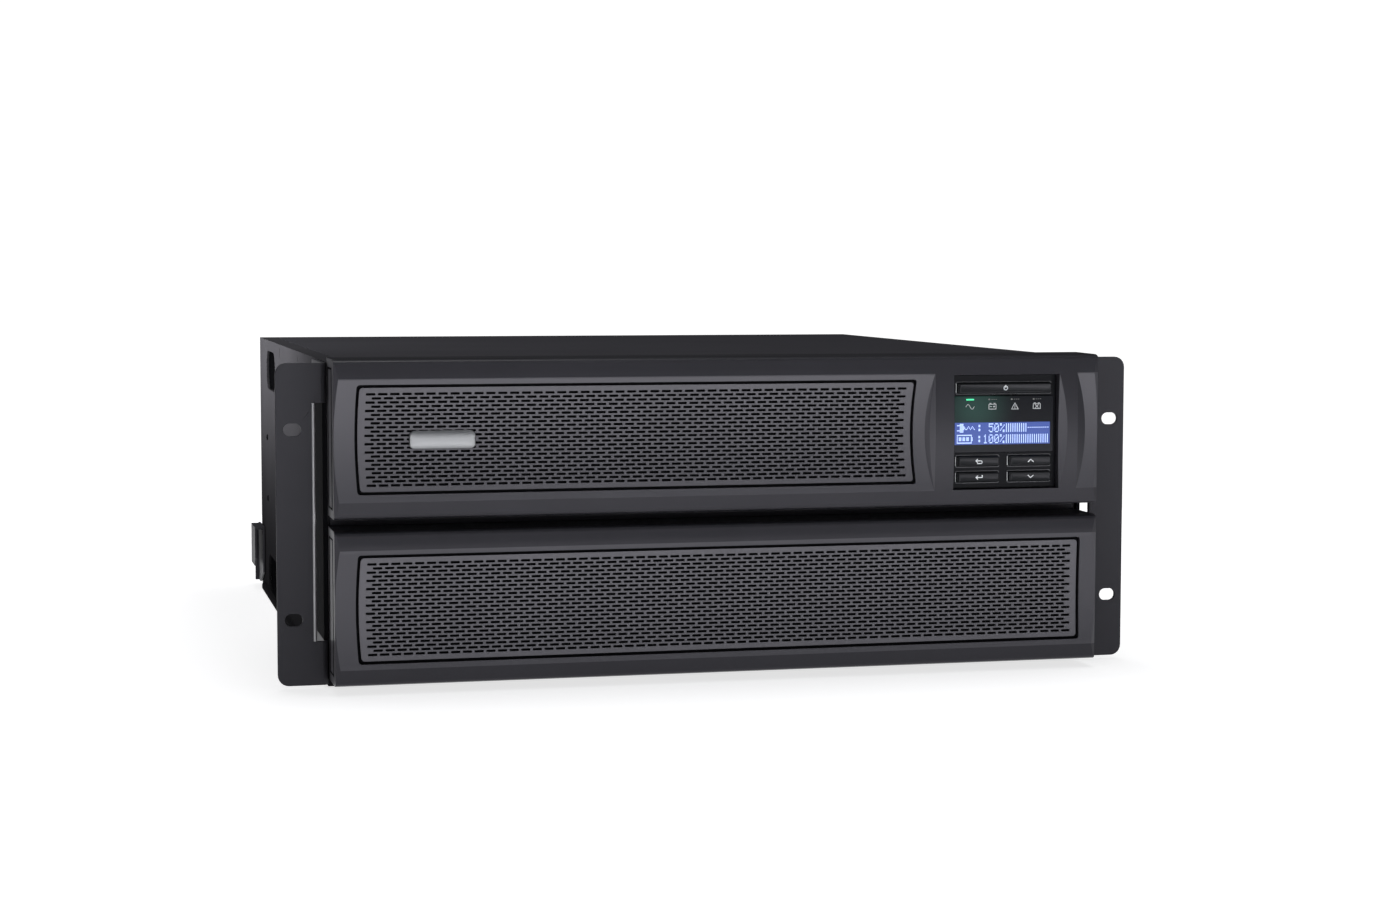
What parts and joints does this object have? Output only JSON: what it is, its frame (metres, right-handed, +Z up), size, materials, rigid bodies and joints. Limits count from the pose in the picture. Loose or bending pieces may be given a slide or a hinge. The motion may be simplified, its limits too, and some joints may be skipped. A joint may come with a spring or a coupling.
{
  "type": "uninterruptible power supply",
  "caption": "Four-unit rack power supply with stacked slotted bezels, a recessed display with buttons, rack ears, side panels, battery modules, fans and rear outlets.",
  "frame": {"origin": "under the middle of the whole object, on the plane of its underside", "axes": "+Z up, +Y from the bezels to the rear panel, +X to the right as seen from the front"},
  "size_m": [0.4826, 0.493, 0.1769],
  "materials": {
    "chassis_paint": "fine textured powder coat, satin",
    "plated_steel": "zinc plated",
    "bezel_plastic": "fine moulded texture, satin",
    "grille_plastic": "satin, staggered short slots",
    "badge_metal": "satin silver, plain",
    "black_plastic": "moulded",
    "button_plastic": "satin",
    "window_plastic": "smoked and polished",
    "lcd_face": "backlit blue with pale segments",
    "circuit_board": "green solder mask",
    "light_pipe": "clear diffuse",
    "aluminium": "extruded",
    "copper_winding": "enamelled copper",
    "capacitor_sleeve": "shrink sleeve",
    "battery_case": "moulded ABS"
  },
  "bodies": {
    "chassis": {"base_pan": "chassis_paint", "left_side_panel": "chassis_paint", "right_side_panel": "chassis_paint", "top_cover": "chassis_paint", "front_frame": "chassis_paint", "rear_panel": "chassis_paint", "left_rack_ear": "chassis_paint", "right_rack_ear": "chassis_paint", "left_rear_hook": "chassis_paint", "right_rear_hook": "chassis_paint", "card_slot_cover": "chassis_paint", "mid_shelf": "plated_steel", "battery_divider": "plated_steel", "usb_port": "plated_steel", "serial_port": "plated_steel", "left_fan_guard": "plated_steel", "right_fan_guard": "plated_steel", "display_cradle": "black_plastic", "left_fan_frame": "black_plastic", "right_fan_frame": "black_plastic", "outlet_row": "black_plastic", "outlet_square": "black_plastic", "large_outlet": "black_plastic", "power_inlet": "black_plastic", "breaker_body": "black_plastic", "battery_pack_connector": "black_plastic", "main_circuit_board": "circuit_board", "left_heatsink": "aluminium", "right_heatsink": "aluminium", "transformer": "copper_winding", "choke": "copper_winding", "left_capacitor": "capacitor_sleeve", "right_capacitor": "capacitor_sleeve"},
    "upper_bezel": {"upper_bezel": "bezel_plastic", "upper_grille": "grille_plastic", "badge": "badge_metal"},
    "lower_bezel": {"lower_bezel": "bezel_plastic", "lower_grille": "grille_plastic"},
    "display_module": {"display_housing": "black_plastic", "display_window": "window_plastic", "lcd_module": "lcd_face", "display_board": "circuit_board", "light_pipes": "light_pipe"},
    "power_button": {"power_button": "button_plastic"},
    "escape_button": {"escape_button": "button_plastic"},
    "up_button": {"up_button": "button_plastic"},
    "enter_button": {"enter_button": "button_plastic"},
    "down_button": {"down_button": "button_plastic"},
    "left_battery": {"left_battery_tray": "plated_steel", "left_battery_front": "battery_case", "left_battery_rear": "battery_case", "left_battery_handle": "black_plastic"},
    "right_battery": {"right_battery_tray": "plated_steel", "right_battery_front": "battery_case", "right_battery_rear": "battery_case", "right_battery_handle": "black_plastic"},
    "left_fan": {"left_fan_rotor": "black_plastic"},
    "right_fan": {"right_fan_rotor": "black_plastic"},
    "breaker_button": {"breaker_button": "button_plastic"}
  },
  "joints": [
    {"name": "upper_bezel_slide", "type": "slide", "parent": "chassis", "child": "upper_bezel", "axis": [0, -1, 0], "range_m": [0, 0.06]},
    {"name": "display_slide", "type": "slide", "parent": "chassis", "child": "display_module", "axis": [0, -1, 0], "range_m": [0, 0.05]},
    {"name": "power_press", "type": "slide", "parent": "display_module", "child": "power_button", "axis": [0, 1, 0], "range_m": [0, 0.001], "stiffness_N_per_m": 500},
    {"name": "escape_press", "type": "slide", "parent": "display_module", "child": "escape_button", "axis": [0, 1, 0], "range_m": [0, 0.001], "stiffness_N_per_m": 500},
    {"name": "up_press", "type": "slide", "parent": "display_module", "child": "up_button", "axis": [0, 1, 0], "range_m": [0, 0.001], "stiffness_N_per_m": 500},
    {"name": "enter_press", "type": "slide", "parent": "display_module", "child": "enter_button", "axis": [0, 1, 0], "range_m": [0, 0.001], "stiffness_N_per_m": 500},
    {"name": "down_press", "type": "slide", "parent": "display_module", "child": "down_button", "axis": [0, 1, 0], "range_m": [0, 0.001], "stiffness_N_per_m": 500},
    {"name": "left_battery_slide", "type": "slide", "parent": "chassis", "child": "left_battery", "axis": [0, -1, 0], "range_m": [0, 0.3]},
    {"name": "right_battery_slide", "type": "slide", "parent": "chassis", "child": "right_battery", "axis": [0, -1, 0], "range_m": [0, 0.3]},
    {"name": "lower_bezel_slide", "type": "slide", "parent": "chassis", "child": "lower_bezel", "axis": [0, -1, 0], "range_m": [0, 0.345]},
    {"name": "left_fan_spin", "type": "hinge", "parent": "chassis", "child": "left_fan", "pos_m": [-0.163, 0.2232, 0.132], "axis": [0, 1, 0], "continuous": true},
    {"name": "right_fan_spin", "type": "hinge", "parent": "chassis", "child": "right_fan", "pos_m": [-0.079, 0.2232, 0.132], "axis": [0, 1, 0], "continuous": true},
    {"name": "breaker_reset", "type": "slide", "parent": "chassis", "child": "breaker_button", "axis": [0, 1, 0], "range_m": [0, 0.003]}
  ],
  "couplings": [
    {"joint": "right_battery_slide", "follows": "left_battery_slide", "ratio": 1},
    {"joint": "lower_bezel_slide", "follows": "left_battery_slide", "ratio": 1.15}
  ]
}
